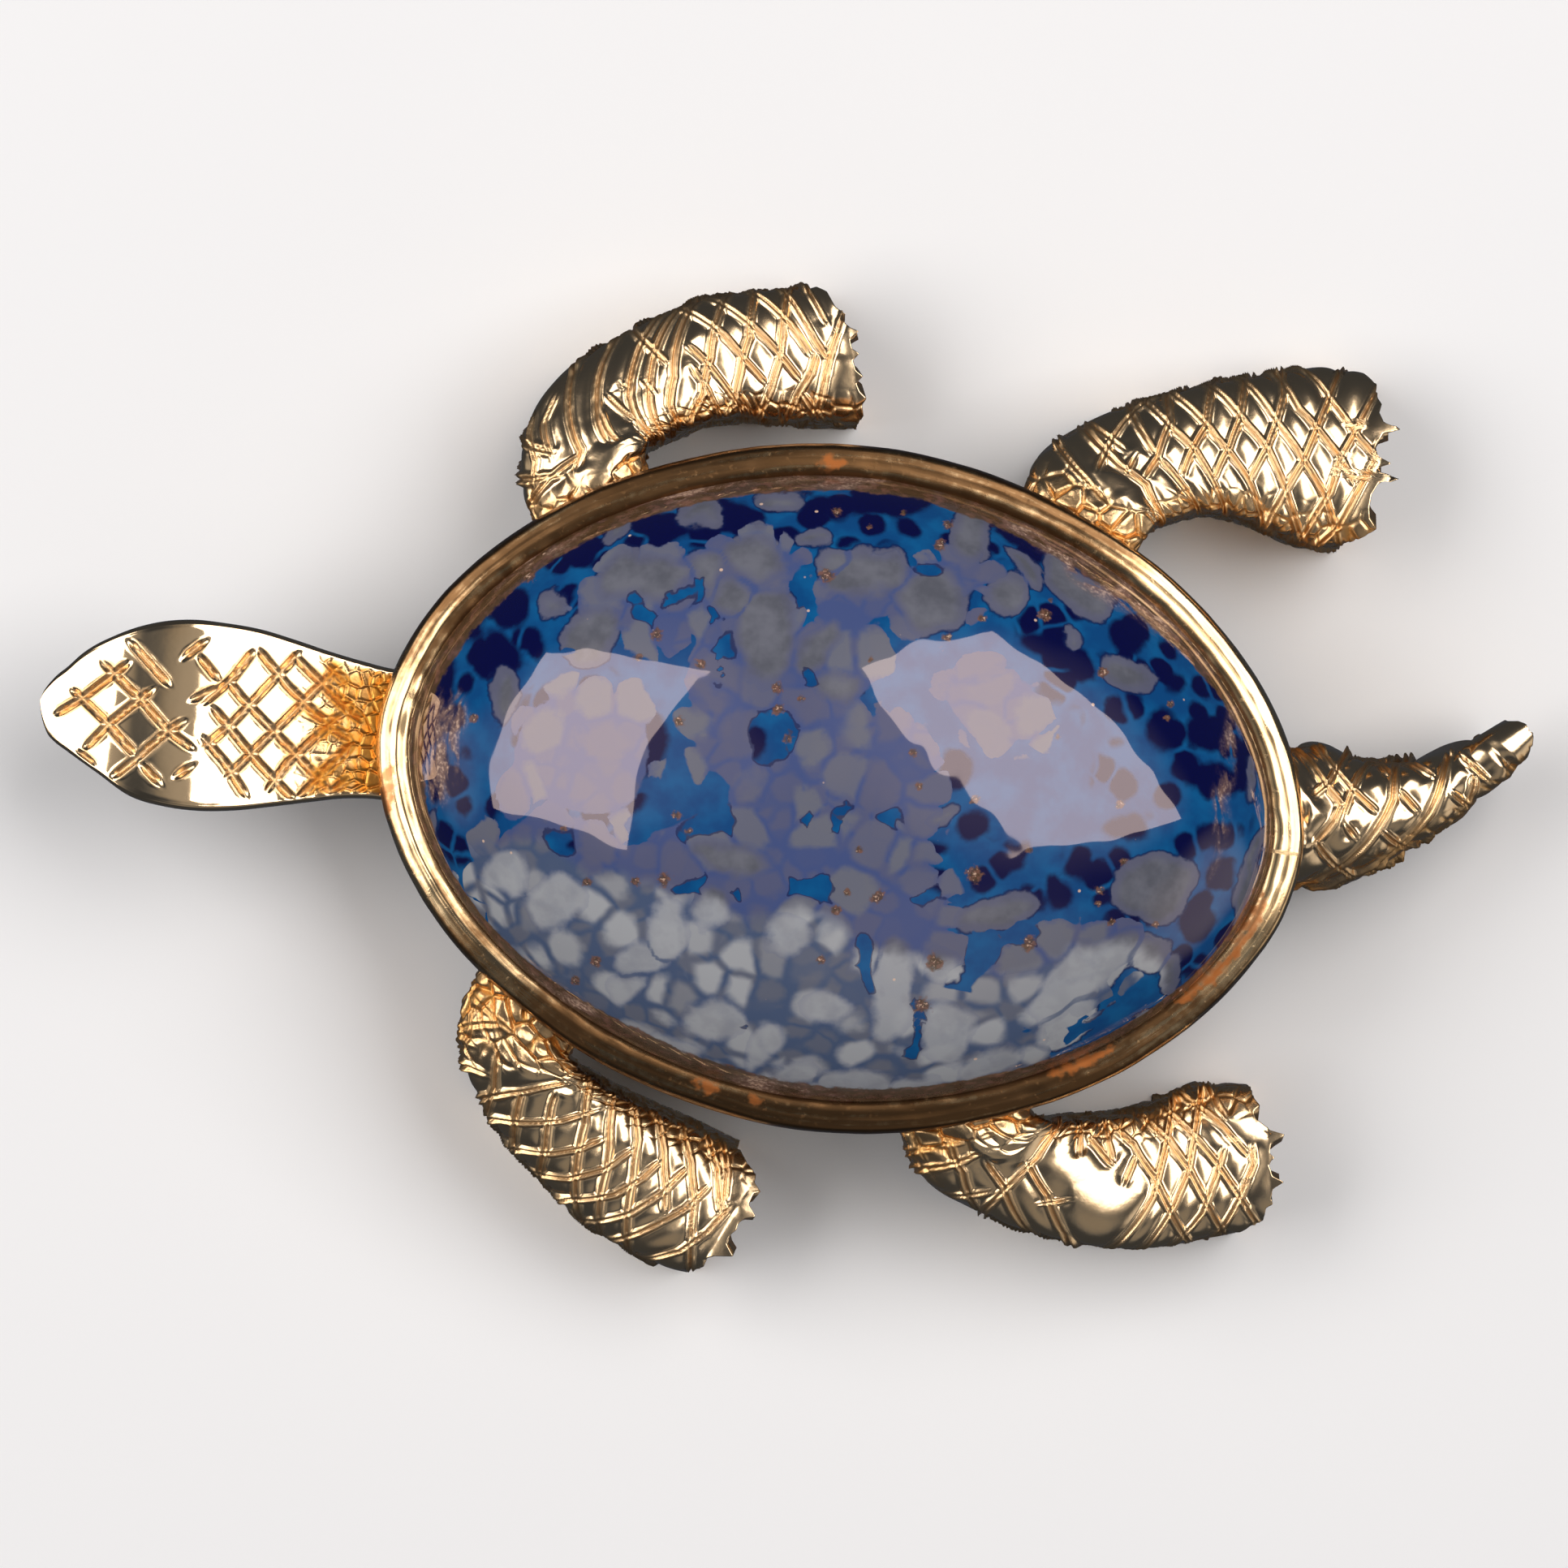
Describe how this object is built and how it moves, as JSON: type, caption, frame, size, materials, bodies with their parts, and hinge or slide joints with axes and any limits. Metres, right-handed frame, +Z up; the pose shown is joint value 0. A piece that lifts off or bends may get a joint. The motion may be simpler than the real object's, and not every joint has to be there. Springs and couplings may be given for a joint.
{
  "type": "turtle brooch",
  "caption": "Turtle brooch whose shell is an oval mottled blue glass cabochon in a gold bezel cup, with an engraved head, hollow flippers and a curved tail.",
  "frame": {"origin": "on the surface that the brooch rests on, under the middle of its length and width", "axes": "+X along the body from head to tail, +Y to the turtle's right side, +Z up out of the stone's dome"},
  "size_m": [0.0424, 0.0285, 0.0112],
  "materials": {
    "gold": "polished yellow gold, engraved with a crossed lattice, lightly tarnished in the grooves",
    "glass_stone": "polished opaque glass, blue mottled with navy, grey-white and copper flecks"
  },
  "bodies": {
    "root": {"setting": "gold", "stone": "glass_stone", "pin_stem": "gold"}
  },
  "joints": []
}
